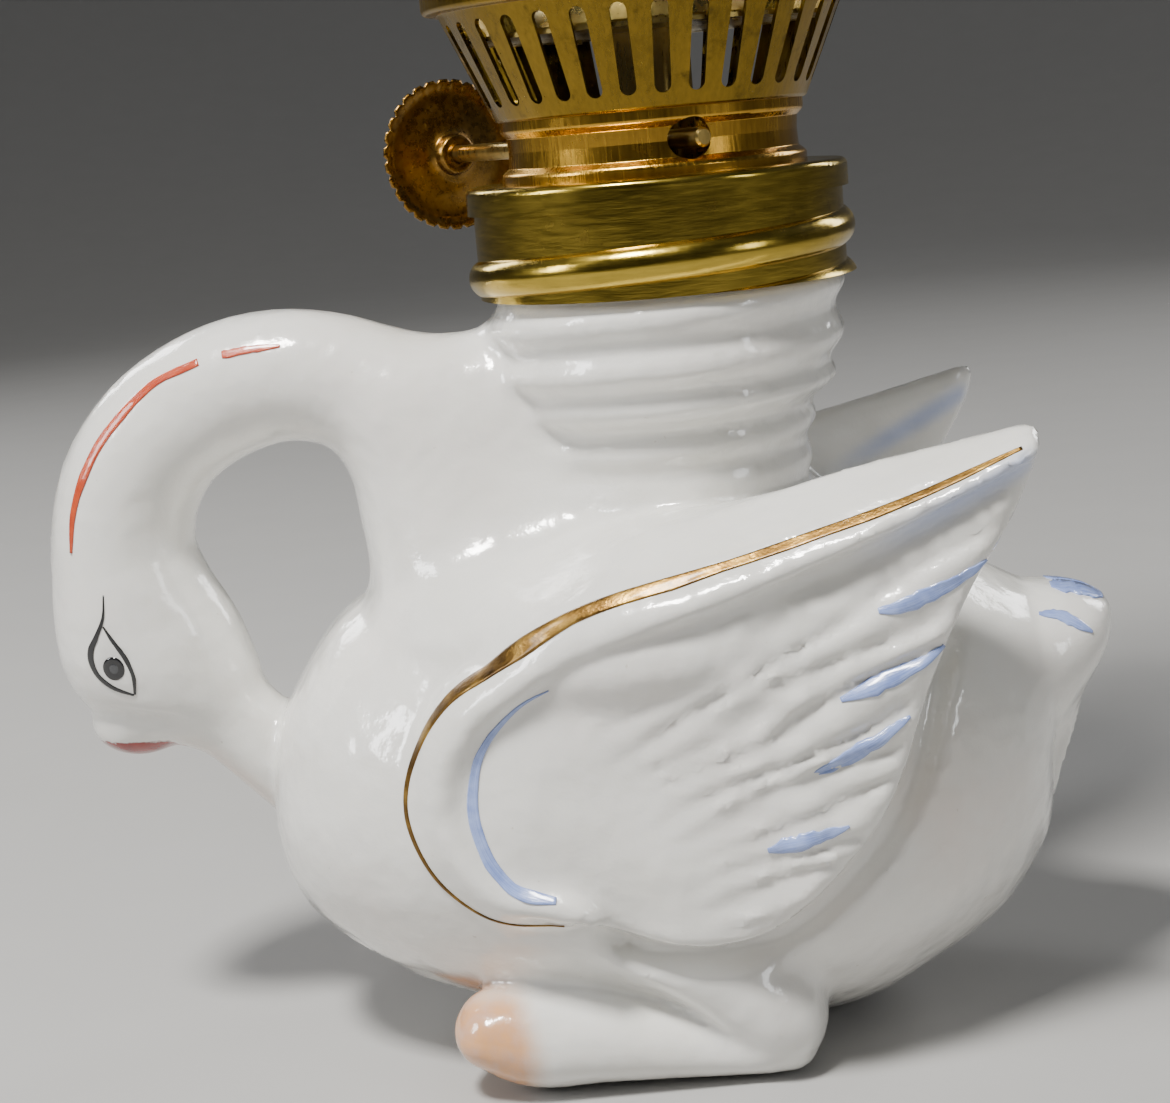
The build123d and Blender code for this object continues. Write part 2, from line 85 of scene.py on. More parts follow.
def make_stage():
    """A pale floor that curves up into a low wall all round, far beyond every camera."""
    profile = [(0.0, 0.0), (0.25, 0.0), (0.5, 0.0), (0.9, 0.0)]
    profile += [(0.9 + 1.2 * sin(a), 1.2 - 1.2 * cos(a)) for a in np.radians(np.arange(6, 79, 6))]
    count = 72
    turn = np.linspace(0, 2 * pi, count, endpoint=False)
    rows = [(r * np.cos(turn), r * np.sin(turn), np.full(count, h)) for r, h in profile[1:]]
    verts = np.vstack([[0, 0, 0]] + [np.stack(row, axis=1) for row in rows])
    ring = np.arange(count)
    faces = [(0, 1 + i, 1 + (i + 1) % count) for i in ring]
    for k in range(len(rows) - 1):
        low, high = 1 + k * count, 1 + (k + 1) * count
        faces += [(low + i, high + i, high + (i + 1) % count, low + (i + 1) % count) for i in ring]
    mesh = bpy.data.meshes.new("floor")
    mesh.from_pydata([tuple(v) for v in verts], [], faces)
    mesh.polygons.foreach_set("use_smooth", [True] * len(mesh.polygons))
    made = bpy.data.objects.new("floor", mesh)
    bpy.context.scene.collection.objects.link(made)
    paper = Look("floor_paper", (0.42, 0.415, 0.405), 0.75)
    grain = paper.node("ShaderNodeTexNoise", {"Vector": paper.place(), "Scale": 60.0, "Detail": 4.0})
    paper.colour([(0.3, (0.415, 0.41, 0.40)), (0.7, (0.425, 0.42, 0.41))], grain.outputs["Fac"])
    mesh.materials.append(paper.material)
    world = bpy.data.worlds.new("studio")
    world.use_nodes = True
    world.node_tree.nodes["Background"].inputs["Color"].default_value = (0.80, 0.84, 0.90, 1)
    world.node_tree.nodes["Background"].inputs["Strength"].default_value = 0.07
    bpy.context.scene.world = world
    softbox("key", (-0.16, -0.26, 0.62), 0.12, 0.12, 7.5, (1.0, 0.98, 0.94))
    softbox("side", (-0.50, -0.20, 0.30), 0.10, 0.22, 1.5, (0.97, 0.98, 1.0))
    softbox("fill", (0.55, -0.40, 0.30), 0.12, 0.26, 0.7, (0.96, 0.98, 1.0))
    softbox("back_left", (-0.45, 0.45, 0.40), 0.16, 0.26, 1.2)
    softbox("back_right", (0.50, 0.45, 0.35), 0.16, 0.26, 1.2)


# ================================================================ procedural looks
class Look:
    """A material round one Principled shader, with short ways to add the nodes it needs."""

    def __init__(self, name, colour, roughness, **fixed):
        self.material = bpy.data.materials.new(name)
        self.material.use_nodes = True
        self.tree = self.material.node_tree
        self.shader = self.tree.nodes["Principled BSDF"]
        self.shader.inputs["Base Color"].default_value = (*colour, 1)
        self.shader.inputs["Roughness"].default_value = roughness
        for socket, value in fixed.items():
            self.shader.inputs[socket.replace("_", " ")].default_value = value

    def node(self, kind, inputs=(), **settings):
        made = self.tree.nodes.new(kind)
        for key, value in settings.items():
            setattr(made, key, value)
        for key, value in dict(inputs).items():
            if isinstance(value, bpy.types.NodeSocket):
                self.tree.links.new(value, made.inputs[key])
            else:
                made.inputs[key].default_value = value
        return made

    def put(self, socket, value):
        self.tree.links.new(value, self.shader.inputs[socket])

    def place(self, scale=(1, 1, 1)):
        """The place on the object in metres, stretched by scale."""
        where = self.node("ShaderNodeTexCoord").outputs["Object"]
        return self.node("ShaderNodeMapping", {"Vector": where, "Scale": scale}).outputs["Vector"]

    def noise(self, scale, detail=3.0, stretch=(1, 1, 1), roughness=0.5, distortion=0.0):
        """Noise whose grains are about 1 / scale millimetres."""
        where = self.place(tuple(s / MM for s in stretch))
        inputs = {"Vector": where, "Scale": scale, "Detail": detail}
        inputs.update({"Roughness": roughness, "Distortion": distortion})
        return self.node("ShaderNodeTexNoise", inputs).outputs["Fac"]

    def stored(self, name):
        return self.node("ShaderNodeAttribute", attribute_name=name).outputs["Fac"]

    def sums(self, operation, a, b, clamp=False):
        made = self.node("ShaderNodeMath", operation=operation, use_clamp=clamp)
        for i, value in enumerate((a, b)):
            if isinstance(value, bpy.types.NodeSocket):
                self.tree.links.new(value, made.inputs[i])
            else:
                made.inputs[i].default_value = value
        return made.outputs[0]

    def span(self, value, low, high, out_low=0.0, out_high=1.0):
        """Maps low..high smoothly onto out_low..out_high."""
        made = self.node("ShaderNodeMapRange", interpolation_type="SMOOTHSTEP")
        for key, number in zip(("From Min", "From Max", "To Min", "To Max"), (low, high, out_low, out_high)):
            made.inputs[key].default_value = number
        self.tree.links.new(value, made.inputs["Value"])
        return made.outputs["Result"]

    def steps(self, stops, value):
        """A colour ramp."""
        made = self.node("ShaderNodeValToRGB", {"Fac": value})
        elements = made.color_ramp.elements
        for i, (at, colour) in enumerate(stops):
            element = elements[i] if i < 2 else elements.new(at)
            element.position = at
            element.color = (*colour, 1)
        return made.outputs["Color"]

    def shares(self, a, part, b, other):
        """The sum of part of a and another part of b."""
        return self.sums("ADD", self.sums("MULTIPLY", a, part), self.sums("MULTIPLY", b, other))

    def mix(self, share, a, b):
        made = self.node("ShaderNodeMix", data_type="RGBA")
        for i, value in ((0, share), (6, a), (7, b)):
            if isinstance(value, bpy.types.NodeSocket):
                self.tree.links.new(value, made.inputs[i])
            elif i:
                made.inputs[i].default_value = (*value, 1)
            else:
                made.inputs[i].default_value = value
        return made.outputs[2]

    def colour(self, stops, value):
        self.put("Base Color", self.steps(stops, value))

    def relief(self, height, depth, coat=False):
        """Bump, with depth in metres."""
        made = self.node("ShaderNodeBump", {"Height": height, "Distance": depth, "Strength": 1.0})
        self.put("Normal", made.outputs["Normal"])
        if coat:
            self.put("Coat Normal", made.outputs["Normal"])


# ================================================================ curves and solids as fields
# The porcelain is one field, negative inside, in millimetres. Its zero is the glazed surface.


def smooth_curve(points, count, along=2):
    """Evenly spaced rows on a Catmull-Rom curve; the first columns are places, the rest follow."""
    p = np.asarray(points, float)
    ends = np.vstack([2 * p[0] - p[1], p, 2 * p[-1] - p[-2]])
    t = np.linspace(0, len(p) - 1, 24 * len(p))
    i = np.minimum(t.astype(int), len(p) - 2)
    u = (t - i)[:, None]
    a, b, c, d = ends[i], ends[i + 1], ends[i + 2], ends[i + 3]
    q = 0.5 * (2 * b + (c - a) * u + (2 * a - 5 * b + 4 * c - d) * u**2 + (3 * b - a - 3 * c + d) * u**3)
    run = np.concatenate([[0], np.cumsum(np.linalg.norm(np.diff(q[:, :along], axis=0), axis=1))])
    at = np.linspace(0, run[-1], count)
    return np.stack([np.interp(at, run, column) for column in q.T], axis=1)


def blend(a, b, k):
    """Union of two fields with a fillet about k wide."""
    h = np.maximum(k - np.abs(a - b), 0) / k
    return np.minimum(a, b) - h * h * k / 4


def carve(a, b, k):
    """Intersection of two fields with a rounded edge about k wide."""
    return -blend(-a, -b, k)


def ramp(x, low, high):
    """0 below low, 1 above high and smooth between them."""
    t = np.clip((x - low) / (high - low), 0, 1)
    return t * t * (3 - 2 * t)


def bump(x, middle, half):
    """A smooth hill of height 1 that is 0 outside middle ± half."""
    t = np.clip(1 - ((x - middle) / half) ** 2, 0, 1)
    return t * t


def egg(x, y, z, centre, radii, tilt):
    """An ellipsoid, tilted nose-down about Y by some degrees."""
    dx, dy, dz = x - centre[0], y - centre[1], z - centre[2]
    c, s = cos(radians(tilt)), sin(radians(tilt))
    dx, dz = c * dx - s * dz, s * dx + c * dz
    a, b, e = dx / radii[0], dy / radii[1], dz / radii[2]
    far = np.sqrt(a * a + b * b + e * e) + 1e-9
    steep = np.sqrt((a / radii[0]) ** 2 + (b / radii[1]) ** 2 + (e / radii[2]) ** 2) + 1e-9
    return far * (far - 1) / steep


def tube(x, y, z, line):
    """A round-nosed tube on rows of (x, z, half thickness in the XZ plane, half thickness in Y)."""
    best = np.full_like(x, 1e3)
    for (ax, az, ar, aw), (bx, bz, br, bw) in zip(line[:-1], line[1:]):
        dx, dz = bx - ax, bz - az
        t = np.clip(((x - ax) * dx + (z - az) * dz) / (dx * dx + dz * dz), 0, 1)
        r = ar + (br - ar) * t
        w = aw + (bw - aw) * t
        far = np.sqrt((x - ax - dx * t) ** 2 + (z - az - dz * t) ** 2 + (y * r / w) ** 2)
        best = np.minimum(best, (far - r) * np.minimum(1, w / r))
    return best


# ================================================================ porcelain swan, in millimetres
RIM_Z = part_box("swan_font")[1][2] / MM
BORE_R, WAIST_BORE_R, WALL = 12.8, 9.6, 3.5
THREAD_PITCH, THREAD_LOW_Z = 5.0, 68.0

# x, height of the widest place, top, bottom, half width
BODY = np.array(
    [
        (-43.4, 23.8, 24.3, 23.3, 0.5),
        (-42.5, 23.8, 32.0, 17.0, 7.5),
        (-39.5, 24.2, 37.8, 12.2, 13.5),
        (-34.0, 24.8, 44.2, 8.2, 18.5),
        (-26.0, 25.3, 47.6, 4.2, 22.6),
        (-15.0, 25.4, 50.0, 1.0, 25.4),
        (0.0, 25.0, 52.0, -0.8, 26.6),
        (13.0, 25.6, 50.5, 0.0, 25.0),
        (22.0, 25.6, 46.5, 4.0, 20.8),
        (28.0, 25.0, 42.5, 7.6, 16.2),
        (32.2, 23.6, 37.0, 12.5, 11.0),
        (34.8, 21.5, 25.0, 18.0, 2.6),
    ]
)
# x, z, half thickness in the XZ plane, half thickness in Y
NECK = smooth_curve(
    [
        (-20.5, 44.0, 9.6, 12.5),
        (-22.6, 52.0, 8.0, 9.4),
        (-24.6, 59.5, 7.0, 7.6),
        (-29.5, 65.2, 6.6, 7.0),
        (-36.8, 67.6, 6.5, 6.7),
        (-43.8, 66.8, 6.7, 6.8),
        (-50.4, 63.4, 6.8, 6.9),
        (-54.7, 58.2, 7.0, 7.0),
        (-56.4, 52.0, 7.2, 7.2),
        (-56.0, 46.0, 7.9, 7.5),
    ],
    44,
)
HEAD = smooth_curve(
    [
        (-56.0, 46.0, 7.9, 7.5),
        (-54.4, 41.2, 9.0, 7.9),
        (-51.4, 38.0, 7.2, 6.8),
        (-49.0, 35.3, 5.5, 5.5),
        (-46.4, 32.5, 4.7, 4.7),
        (-40.0, 26.2, 4.9, 4.6),
    ],
    22,
)
# Broad web between the bird's neck and the lamp's.
BRIDGE = smooth_curve([(-24.5, 62.3, 7.2, 7.4), (-17.0, 62.6, 8.2, 7.0), (-8.0, 61.6, 8.8, 7.0)], 20)
BRIDGE_FOOT = smooth_curve([(-22.5, 51.5, 8.2, 9.4), (-9.0, 50.5, 9.5, 9.4)], 12)
TAIL = smooth_curve(
    [
        (18.0, 30.5, 12.0, 16.0),
        (27.0, 32.2, 9.6, 13.0),
        (32.4, 34.2, 7.2, 10.4),
        (36.8, 36.3, 4.6, 7.8),
        (39.6, 37.8, 2.0, 4.6),
    ],
    30,
)
# Folded leg: the shank with its toe in front, and the thigh that comes down behind it.
SHANK = smooth_curve(
    [(-21.4, 6.3, 3.7, 4.6), (-17.0, 5.2, 4.7, 5.3), (-10.0, 4.6, 4.2, 5.2), (4.0, 2.5, 2.6, 4.6)], 24
)
THIGH = smooth_curve(
    [(-5.5, 14.5, 5.0, 6.0), (0.5, 10.8, 5.2, 6.6), (5.0, 6.4, 5.2, 6.2), (6.4, 3.0, 3.0, 4.8)], 20
)
# The wing's outline seen from the side: over the leading edge to the tip and back below it.
WING_OVER = [(-13.4, 17.6), (-18.6, 17.7), (-22.0, 19.2), (-25.2, 22.8), (-27.1, 27.4), (-27.1, 31.6),
             (-25.6, 35.9), (-22.6, 39.8), (-18.6, 42.5), (-12.6, 45.4), (-5.8, 47.9), (5.9, 51.2),
             (19.0, 55.0), (30.4, 58.8)]
WING_TIP = [(31.6, 59.0), (32.2, 58.2)]
WING_UNDER = [(31.4, 55.6), (28.9, 51.0), (25.4, 45.2), (21.8, 37.7), (19.2, 30.5), (16.6, 25.4),
              (12.4, 20.6), (7.6, 16.6), (2.4, 14.6), (-3.0, 14.6), (-8.2, 16.0), (-11.8, 18.4)]
FAN = (-70.0, 2.0)  # the wing's feathers spread from here
FEATHER_DEG = 1.95


# x, height of the widest place, and the squares of the reach up, down and sideways
BODY_X, BODY_MIDDLE, BODY_TOP, BODY_BOTTOM, BODY_WIDE = BODY.T
BODY_TABLE = smooth_curve(
    np.column_stack(
        [BODY_X, BODY_MIDDLE, (BODY_TOP - BODY_MIDDLE) ** 2, (BODY_MIDDLE - BODY_BOTTOM) ** 2, BODY_WIDE**2]
    ),
    240,
    along=1,
)


def body(x, y, z):
    middle, up, down, wide = (np.interp(x, BODY_TABLE[:, 0], BODY_TABLE[:, i]) for i in range(1, 5))
    tall = np.sqrt(np.maximum(np.where(z > middle, up, down), 0.05))
    wide = np.sqrt(np.maximum(wide, 0.05))
    a, b = y / wide, (z - middle) / tall
    far = np.sqrt(a * a + b * b) + 1e-9
    ring = far * (far - 1) / (np.sqrt((a / wide) ** 2 + (b / tall) ** 2) + 1e-9)
    ends = np.maximum(BODY[0, 0] - x, x - BODY[-1, 0])
    return np.maximum(ring, ends)


def outline_distance(points, xs, zs):
    """Signed distance to a closed outline on a grid, negative inside."""
    gx, gz = np.meshgrid(xs, zs, indexing="ij")
    near = np.full(gx.shape, 1e9)
    inside = np.zeros(gx.shape, bool)
    for (ax, az), (bx, bz) in zip(points, np.roll(points, -1, axis=0)):
        dx, dz = bx - ax, bz - az
        t = np.clip(((gx - ax) * dx + (gz - az) * dz) / (dx * dx + dz * dz + 1e-12), 0, 1)
        near = np.minimum(near, (gx - ax - dx * t) ** 2 + (gz - az - dz * t) ** 2)
        crosses = (az > gz) != (bz > gz)
        with np.errstate(divide="ignore", invalid="ignore"):
            inside ^= crosses & (gx < ax + (gz - az) * dx / (dz if dz else 1e-12))
    return np.where(inside, -1, 1) * np.sqrt(near)


def line_distance(points, xs, zs):
    """Distance to an open line on a grid."""
    gx, gz = np.meshgrid(xs, zs, indexing="ij")
    near = np.full(gx.shape, 1e9)
    for (ax, az), (bx, bz) in zip(points[:-1], points[1:]):
        dx, dz = bx - ax, bz - az
        t = np.clip(((gx - ax) * dx + (gz - az) * dz) / (dx * dx + dz * dz + 1e-12), 0, 1)
        near = np.minimum(near, (gx - ax - dx * t) ** 2 + (gz - az - dz * t) ** 2)
    return np.sqrt(near)


class Chart:
    """Values on a grid over the XZ plane, read back between its points."""

    def __init__(self, xs, zs, values):
        self.xs, self.zs, self.values = xs, zs, values

    def __call__(self, x, z):
        step = self.xs[1] - self.xs[0]
        u = np.clip((x - self.xs[0]) / step, 0, len(self.xs) - 1.001)
        v = np.clip((z - self.zs[0]) / step, 0, len(self.zs) - 1.001)
        i, j = u.astype(int), v.astype(int)
        u, v = u - i, v - j
        g = self.values
        low = g[i, j] * (1 - u) + g[i + 1, j] * u
        high = g[i, j + 1] * (1 - u) + g[i + 1, j + 1] * u
        return low * (1 - v) + high * v


def groove_width(x):
    """From the wing's leading edge to the groove behind its rolled rim."""
    return np.interp(x, [-22, -12, 10, 20, 30], [6.3, 4.6, 3.7, 2.8, 1.6])


def make_wing_charts():
    xs, zs = np.arange(-34, 38.01, 0.2), np.arange(6, 66.01, 0.2)
    over = smooth_curve(WING_OVER, 90)
    outline = np.vstack([over, WING_TIP, smooth_curve(WING_UNDER, 70)])
    edge = outline_distance(outline, xs, zs)
    lead = line_distance(over, xs, zs)
    trail = line_distance(smooth_curve([WING_TIP[1]] + WING_UNDER, 70), xs, zs)
    gx, gz = np.meshgrid(xs, zs, indexing="ij")
    # Rolled leading edge and the groove behind it, which is shallow at the lower front.
    across = lead / groove_width(gx)
    deep = 0.8 + 1.1 * ramp(gx, -20, -8) - 0.8 * ramp(gx, 16, 30)
    relief = 0.8 * bump(across, 0.5, 0.62)
    relief -= deep * ramp(across, 0.5, 1.0)
    relief += 0.75 * deep * ramp(lead - groove_width(gx), 0.3, 7.0)
    # Smooth hollow in the front of the panel.
    relief -= 0.7 * bump(np.hypot((gx + 8) / 11, (gz - 30) / 10), 0, 1)
    # Feathers: short ones in front, long ones behind, each a soft uneven ridge.
    fx, fz = gx - FAN[0], gz - FAN[1]
    away, turn = np.hypot(fx, fz), np.degrees(np.arctan2(fz, fx))
    tier = away - 84.5 - 0.16 * (turn - 21) + 0.8 * np.sin(turn * 1.7)
    phase = turn / FEATHER_DEG + 0.16 * np.sin(away / 3.7 + turn) + 0.1 * np.sin(turn * 2.1)
    long_ridge = 0.62 * np.abs(np.sin(pi * phase)) + 0.38 * np.sin(pi * phase) ** 2
    short_ridge = np.sin(pi * (phase * 1.06 + 0.45)) ** 2
    uneven = 0.8 + 0.2 * np.sin(gx * 0.9 + 1.3 * gz) + 0.15 * np.sin(0.5 * gz - 0.31 * gx)
    back = ramp(tier, -1.6, 1.4)
    front = ramp(away, 68.0 - 0.12 * (turn - 21), 77) * (1 - back)
    panel = ramp(lead, groove_width(gx) + 0.4, groove_width(gx) + 3.4) * ramp(trail, 0.4, 2.6)
    relief += panel * uneven * (0.95 * back * (long_ridge - 0.5) + 0.55 * front * (short_ridge - 0.45))
    relief += panel * 0.4 * bump(tier, -0.9, 2.6)
    relief -= 0.5 * (1 - ramp(trail, 0, 2.6)) * ramp(gx, -12, -4)
    round_edge = 1.5 + 2.4 * ramp(trail - lead, -1, 3) * (1 - 0.6 * ramp(gx, 20, 30))
    crease = bump(edge, 0.9, 2.3) * ramp(lead - trail, 1, 6) * (1 - ramp(gx, 24, 30))
    return Chart(xs, zs, edge), Chart(xs, zs, relief), Chart(xs, zs, round_edge), Chart(xs, zs, crease)


wing_edge, wing_relief, wing_round, wing_crease = make_wing_charts()


def wing_face(x):
    """How far out the wing's smooth face lies."""
    return 27.85 - np.where(x < 2, 0.0062, 0.0022) * (x - 2) ** 2


def wing(x, y, z):
    side = np.abs(y)
    # The top slopes up from the outer rim towards the back.
    rise = 0.42 * np.clip(wing_face(x) - side, 0, 8) * ramp(x, -16, -2)
    face = side - wing_face(x) - wing_relief(x, z)
    inner = (12.8 + 0.2 * (x + 10)) - side
    slab = carve(wing_edge(x, z - rise), face, wing_round(x, z))
    return carve(slab, inner, 2.4)


def lamp_neck(x, y, z):
    r, turn = np.hypot(x, y), np.arctan2(y, x)
    levels = [40, 50, 54, 58, 61, 63.6, 66.5, 70, 73, 84]
    core = np.interp(z, levels, [20, 14.6, 12.8, 12.9, 13.4, 15.2, 16.0, 16.5, 16.4, 16.2])
    strength = np.interp(z, [50, 54, 58, 62, 66, 72, 79.5, 81], [0, 0.3, 0.6, 0.85, 0.95, 1.1, 1.1, 0])
    # The ridges are a thread under the cap and come closer together further down.
    phase = (z - THREAD_LOW_Z) / THREAD_PITCH + np.minimum(z - 66, 0) * 0.056
    wave = 0.5 + 0.5 * np.cos(2 * pi * phase - turn)
    ridge = r - core - strength * wave
    return carve(np.maximum(ridge, 40 - z), z - RIM_Z, 1.2)


def legs(x, y, z):
    side = np.abs(y)
    # The feet turn out a little towards their toes.
    shank = tube(x, side - 19.6 + 0.07 * (x + 8), z, SHANK)
    thigh = tube(x, side - 18.6, z, THIGH)
    return blend(shank, thigh, 1.1)


def porcelain(x, y, z):
    """The whole swan."""
    f = body(x, y, z)
    # Back, filled in between the wings up to the lamp neck.
    f = blend(f, egg(x, y, z, (-2, 0, 42.4), (26, 28.6, 11.0), tilt=-4), 3.5)
    f = blend(f, tube(x, y, z, TAIL), 8.0)
    f = blend(f, legs(x, y, z), 1.8)
    # Soft feather bumps low on the chest.
    chest = ramp(-x, 22, 30) * ramp(-z, -21, -15) * ramp(z, 5, 9)
    f = f + 0.16 * chest * np.sin(1.3 * z + 0.5 * x) * np.sin(0.8 * x - 0.35 * np.abs(y))
    f = blend(f, wing(x, y, z), 1.3 + 4.5 * ramp(z, 42, 48) * (1 - ramp(x, 8, 18)))
    f = f + 1.9 * wing_crease(x, z) * ramp(np.abs(y), 12, 16)
    bird = blend(tube(x, y, z, NECK), tube(x, y, z, HEAD), 1.0)
    knob = egg(x, y, z, (-57.0, 0, 33.7), (4.9, 4.6, 3.5), tilt=4)
    brow = egg(x, y, z, (-58.0, 0, 42.6), (4.7, 5.4, 6.5), tilt=18)
    bird = blend(blend(bird, brow, 3.0), knob, 1.0)
    # Shallow crease between the cheek and the bill.
    crease = np.abs((x + 55.0) * 0.17 + (z - 35.2) * 0.99)
    bird = bird + 0.9 * bump(crease, 0, 1.6) * bump(x, -54.8, 6.6) * ramp(np.abs(y), 0.5, 3.0)
    f = blend(f, bird, 1.2 + 6.0 * ramp(z, 36, 44) * ramp(x, -36, -28))
    web = blend(tube(x, y, z, BRIDGE), tube(x, y, z, BRIDGE_FOOT), 8.0)
    f = blend(f, web, 4.0)
    f = blend(f, lamp_neck(x, y, z), 1.8)
    f = carve(f, -z, 0.9)
    # Oil space and filling hole.
    r = np.hypot(x, y)
    hole = np.interp(z, [40, 61, 67, 90], [WAIST_BORE_R, WAIST_BORE_R, BORE_R, BORE_R])
    inside = np.maximum(body(x, y, z) + WALL + 0.6, 4.0 - z)
    inside = blend(inside, np.maximum(r - hole, 38 - z), 1.5)
    return carve(f, -inside, 0.9)


def field_at(points):
    """The field at rows of points, in slices that fit the cache."""
    return np.concatenate([porcelain(*points[i : i + 100000].T) for i in range(0, len(points), 100000)])


def surface_nets(low, high, step, coarse=4):
    """The zero surface of the porcelain field as quads, one vertex in each cell that it crosses."""
    low, high = np.array(low, float), np.array(high, float)
    blocks = np.ceil((high - low) / (step * coarse)).astype(int)
    middle = (np.indices(blocks).reshape(3, -1).T + 0.5) * step * coarse - 0.5 * step + low
    rough = field_at(middle)
    near = np.flatnonzero(np.abs(rough) < 1.3 * step * coarse)
    small = np.indices((coarse,) * 3).reshape(3, -1).T
    corner = np.array(np.unravel_index(near, blocks)).T * coarse
    places = (corner[:, None, :] + small[None]).reshape(-1, 3)
    field = np.repeat(np.repeat(np.repeat(rough.reshape(blocks), coarse, 0), coarse, 1), coarse, 2)
    field[tuple(places.T)] = field_at(places * step + low)
    within = field < 0
    cells = np.zeros(np.array(field.shape) - 1, int)
    for i, j, k in small_cube():
        cells += within[i : i + cells.shape[0], j : j + cells.shape[1], k : k + cells.shape[2]]
    mixed = np.argwhere((cells > 0) & (cells < 8))
    number = np.full(cells.shape, -1)
    number[tuple(mixed.T)] = np.arange(len(mixed))
    total, count = np.zeros((len(mixed), 3)), np.zeros(len(mixed))
    for axis in range(3):
        ahead = np.eye(3, dtype=int)[axis]
        for corner in small_cube():
            if corner[axis]:
                continue
            start = mixed + corner
            a, b = field[tuple(start.T)], field[tuple((start + ahead).T)]
            cut = (a < 0) != (b < 0)
            t = np.where(cut, a / np.where(cut, a - b, 1), 0)
            total += np.where(cut[:, None], start + t[:, None] * ahead, 0)
            count += cut
    verts = total / count[:, None] * step + low
    faces = []
    for axis in range(3):
        ahead = np.eye(3, dtype=int)[axis]
        one, two = np.roll(np.eye(3, dtype=int), -axis - 1, axis=0)[:2]
        top = tuple(slice(0, n - (1 if i == axis else 0)) for i, n in enumerate(field.shape))
        nxt = tuple(slice(1 if i == axis else 0, n) for i, n in enumerate(field.shape))
        start = np.argwhere(within[top] != within[nxt])
        quad = [number[tuple((start - s * one - t * two).T)] for s, t in ((0, 0), (1, 0), (1, 1), (0, 1))]
        quad = np.stack(quad, axis=1)
        flip = within[tuple(start.T)]
        quad[flip] = quad[flip][:, ::-1]
        faces.append(quad)
    return verts, np.concatenate(faces)


def small_cube():
    return [np.array(c) for c in np.ndindex(2, 2, 2)]


def field_slope(points, h=0.12):
    """The field's gradient at rows of points."""
    steps = [field_at(points + h * e) - field_at(points - h * e) for e in np.eye(3)]
    return np.stack(steps, axis=1) / (2 * h)


def settle(verts, rounds, reach=0.3):
    """Moves points along the field's slope until they lie on its zero."""
    for _ in range(rounds):
        slope = field_slope(verts)
        size = np.maximum((slope**2).sum(1), 0.05)
        move = -(field_at(verts) / size)[:, None] * slope
        far = np.linalg.norm(move, axis=1, keepdims=True)
        verts = verts + move * np.minimum(1, reach / np.maximum(far, 1e-9))
    return verts


def relax(verts, faces, share=0.5):
    """One step of even spacing: each point moves towards the middle of its faces."""
    middle = verts[faces].mean(1)
    corner = faces.ravel()
    total = [np.bincount(corner, np.repeat(middle[:, i], 4), len(verts)) for i in range(3)]
    count = np.bincount(corner, minlength=len(verts))[:, None]
    return verts + share * (np.stack(total, axis=1) / np.maximum(count, 1) - verts)


def mesh_object(name, verts, faces):
    """A smooth mesh object from rows in millimetres and faces of one size."""
    mesh = bpy.data.meshes.new(name)
    faces = np.asarray(faces)
    size = faces.shape[1]
    mesh.vertices.add(len(verts))
    mesh.vertices.foreach_set("co", (np.asarray(verts) * MM).ravel())
    mesh.loops.add(faces.size)
    mesh.loops.foreach_set("vertex_index", faces.ravel())
    mesh.polygons.add(len(faces))
    mesh.polygons.foreach_set("loop_start", np.arange(0, faces.size, size))
    mesh.polygons.foreach_set("use_smooth", np.full(len(faces), True))
    mesh.update(calc_edges=True)
    mesh.validate()
    made = bpy.data.objects.new(name, mesh)
    bpy.context.scene.collection.objects.link(made)
    return made


def store(made, name, values):
    """Keeps one number for each vertex, for a material to read."""
    made.data.attributes.new(name, "FLOAT", "POINT").data.foreach_set("value", np.asarray(values, np.float32))


def make_swan():
    step = 0.74
    verts, faces = surface_nets((-67, -32, -1.5), (46, 32, RIM_Z + 2), step)
    for _ in range(2):
        verts = settle(relax(verts, faces), 1)
    verts = settle(verts, 3)
    made = mesh_object("swan_porcelain", verts, faces)
    tint_swan(made, *verts.T)
    return made


def tint_swan(made, x, y, z):
    """Where the soft airbrushed colours and the grey shade painted in the eye lie, from 0 to 1 on each
    vertex.
    """
    side = np.abs(y)
    # Dark red under the bill.
    under_bill = bump(np.hypot((x + 57.0) / 8.0, side / 7.0), 0, 1) ** 0.5
    under_bill = under_bill * (1 - ramp(z, 32.3, 33.0)) * ramp(z, 28, 29)
    toe = (1 - ramp(x + 0.06 * (z - 5) ** 2, -18.8, -15.4)) * ramp(x, -28, -27)
    toe = toe * ramp(side, 12.5, 15.0) * (1 - ramp(z, 9.2, 11.0))
    beak = bump(x, -47.0, 7.5) * bump(z, 26.0 - 0.9 * (x + 47), 5.5) * (1 - ramp(side, 4.0, 6.5))
    blush = bump(np.hypot((x - 24) / 10, (z - 24) / 12), 0, 1) * ramp(side, 6, 12) * (1 - ramp(side, 24, 27))
    blush += 0.5 * bump(np.hypot((x + 33) / 9, (z - 15) / 9), 0, 1)
    # Soft blue under the gilt edge, towards the wing's tip.
    along = ((x - 12) * 19.2 + (z - 48.6) * 9.2) / 453
    off = np.abs((x - 12) * 9.2 - (z - 48.6) * 19.2) / 21.3
    tip_blue = bump(off, 0, 1.7) * ramp(along, 0.1, 0.6) * (1 - ramp(along, 0.95, 1.05)) * ramp(side, 14, 18)
    store(made, "tip_blue", tip_blue)
    store(made, "dark_red", under_bill)
    store(made, "peach", toe + 0.35 * beak)
    store(made, "blush", blush)
    # Painted shade: a grey patch round the pupil stands for the shading inside the eye.
    store(made, "eye_painted_shade", bump(np.hypot((x + 57.0) / 2.6, (z - 41.6) / 3.6), 0, 1))


